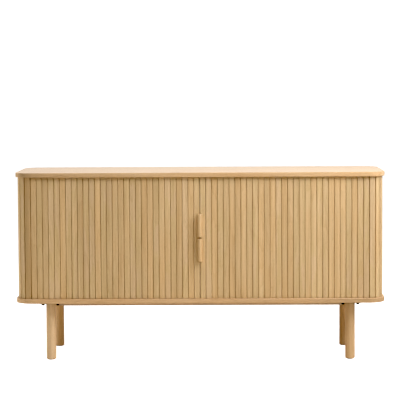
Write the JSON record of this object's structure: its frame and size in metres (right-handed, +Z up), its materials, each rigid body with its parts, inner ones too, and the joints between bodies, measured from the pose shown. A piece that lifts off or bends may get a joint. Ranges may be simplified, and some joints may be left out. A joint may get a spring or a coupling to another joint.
{
  "type": "sideboard",
  "caption": "Long low oak sideboard with rounded corners, slatted tambour doors that slide to each side, a split upright pull and straight round legs.",
  "frame": {"origin": "on the floor under the middle of the carcass", "axes": "+Z up, +X along the length to the right of someone facing the doors, -Y out of the front"},
  "size_m": [1.6, 0.459, 0.814],
  "materials": {
    "oak_board": "pale oak veneer, matt lacquer",
    "oak_slat": "pale oak, matt lacquer",
    "oak_leg": "turned oak, matt lacquer",
    "oak_handle": "oak, matt lacquer",
    "inner_board": "oak veneer, matt",
    "back_board": "thin veneered board",
    "rail_wood": "plain sawn timber",
    "beech_dowel": "fluted beech",
    "canvas": "dark cotton canvas",
    "black_steel": "black powder coat",
    "zinc_steel": "bright zinc",
    "glide_plastic": "brown plastic"
  },
  "bodies": {
    "carcass": {"top_panel": "oak_board", "bottom_panel": "oak_board", "left_inner_side": "inner_board", "right_inner_side": "inner_board", "centre_divider": "inner_board", "inner_back_panel": "inner_board", "back_panel": "back_board", "left_shelf": "inner_board", "right_shelf": "inner_board", "shelf_pins": "zinc_steel", "carcass_screws": "zinc_steel", "carcass_dowels": "beech_dowel", "front_stiffening_rail": "rail_wood", "rear_stiffening_rail": "rail_wood", "rail_screws": "zinc_steel", "front_left_leg": "oak_leg", "front_right_leg": "oak_leg", "rear_left_leg": "oak_leg", "rear_right_leg": "oak_leg", "leg_plates": "black_steel", "leg_plate_bolts": "black_steel", "leg_hanger_bolts": "zinc_steel", "leg_glides": "glide_plastic", "left_corner_slats": "oak_slat", "left_side_slats": "oak_slat", "left_rear_corner_slats": "oak_slat", "left_tail_canvas": "canvas", "right_corner_slats": "oak_slat", "right_side_slats": "oak_slat", "right_rear_corner_slats": "oak_slat", "right_tail_canvas": "canvas"},
    "left_door": {"left_lead_slat": "oak_slat", "left_front_slats": "oak_slat", "left_front_canvas": "canvas", "upper_handle": "oak_handle", "upper_handle_screws": "zinc_steel"},
    "right_door": {"right_lead_slat": "oak_slat", "right_front_slats": "oak_slat", "right_front_canvas": "canvas", "lower_handle": "oak_handle", "lower_handle_screws": "zinc_steel"}
  },
  "joints": [
    {"name": "left_door_slide", "type": "slide", "parent": "carcass", "child": "left_door", "axis": [-1, 0, 0], "range_m": [0, 0.649], "deforming": ["left_front_slats", "left_front_canvas"]},
    {"name": "right_door_slide", "type": "slide", "parent": "carcass", "child": "right_door", "axis": [1, 0, 0], "range_m": [0, 0.649], "deforming": ["right_front_slats", "right_front_canvas"]}
  ]
}
